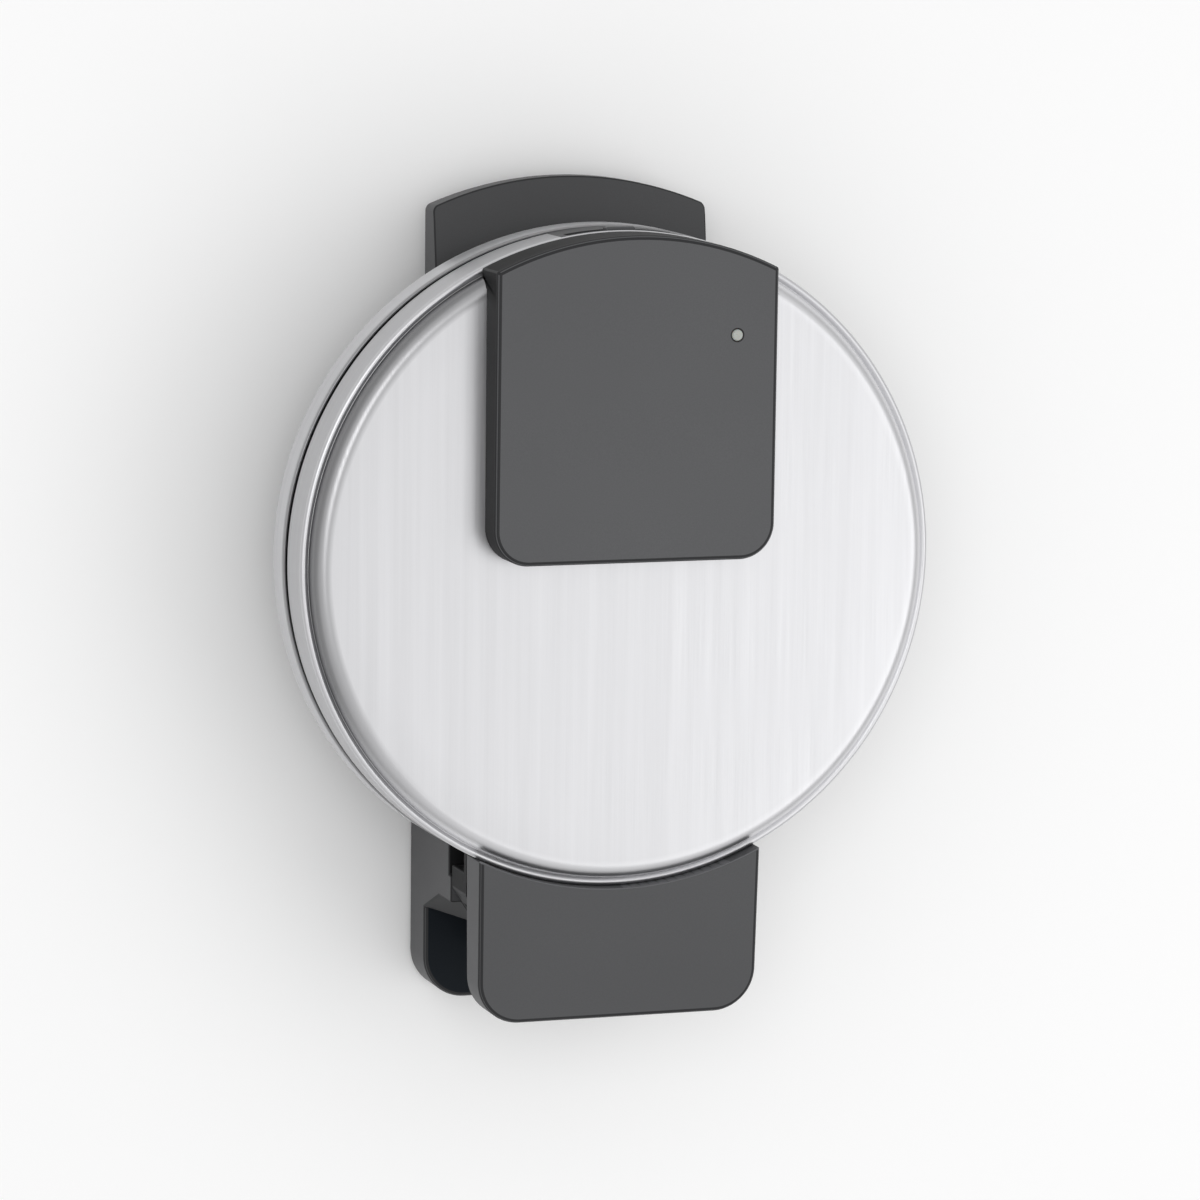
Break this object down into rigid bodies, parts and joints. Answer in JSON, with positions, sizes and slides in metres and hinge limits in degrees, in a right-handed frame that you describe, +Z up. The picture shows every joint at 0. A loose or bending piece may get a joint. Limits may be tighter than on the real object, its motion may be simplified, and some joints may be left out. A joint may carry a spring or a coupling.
{
  "type": "round waffle maker",
  "caption": "Round waffle maker that lies flat on its feet, with a brushed steel lid on a floating rear hinge, grey moulded handles and a browning lever.",
  "frame": {"origin": "foot level, under the middle of the bounding box", "axes": "+Z up from the counter to the lid, +Y from the handles to the hinge, +X across"},
  "size_m": [0.1966, 0.2518, 0.0878],
  "materials": {
    "lid_steel": "straight brushed",
    "band_steel": "satin",
    "grey_plastic": "fine spark-eroded matt",
    "housing_plastic": "fine matt",
    "panel_plastic": "fine matt",
    "knob_plastic": "satin",
    "lens_plastic": "clear gloss",
    "nonstick_casting": "non-stick coating",
    "heater_steel": "oxidised",
    "spring_steel": "satin",
    "shield_aluminium": "mill",
    "ceramic": "unglazed",
    "zinc_steel": "zinc plated",
    "black_rubber": "matt"
  },
  "bodies": {
    "base": {"base_housing": "housing_plastic", "base_band": "band_steel", "base_handle": "grey_plastic", "base_hinge_cover": "grey_plastic", "hinge_ears": "grey_plastic", "lower_grid": "nonstick_casting", "lower_heater": "heater_steel", "lower_heater_clips": "spring_steel", "lower_heat_shield": "shield_aluminium", "thermal_fuse": "heater_steel", "terminal_block": "ceramic", "cord_gland": "black_rubber", "rubber_feet": "black_rubber"},
    "hinge_carriage": {"hinge_shaft": "zinc_steel"},
    "lid": {"lid_cover": "lid_steel", "lid_handle": "grey_plastic", "indicator_lens": "lens_plastic", "control_panel": "panel_plastic", "thermostat": "ceramic", "upper_grid": "nonstick_casting", "upper_heater": "heater_steel", "upper_heater_clips": "spring_steel", "upper_heat_shield": "shield_aluminium", "lid_hinge_bracket": "zinc_steel", "lid_hinge_cover": "grey_plastic"},
    "lever": {"control_lever": "spring_steel", "lever_knob": "knob_plastic"}
  },
  "joints": [
    {"name": "lid_hinge", "type": "hinge", "parent": "base", "child": "hinge_carriage", "pos_m": [0, 0.10255, 0.0466], "axis": [-1, 0, 0], "range_deg": [0, 100]},
    {"name": "lid_float", "type": "slide", "parent": "hinge_carriage", "child": "lid", "axis": [0, 0, 1], "range_m": [0, 0.004]},
    {"name": "browning_lever", "type": "hinge", "parent": "lid", "child": "lever", "pos_m": [0, -0.06345, 0.0687], "axis": [0, 0, 1], "range_deg": [-13.5, 13.5]}
  ]
}
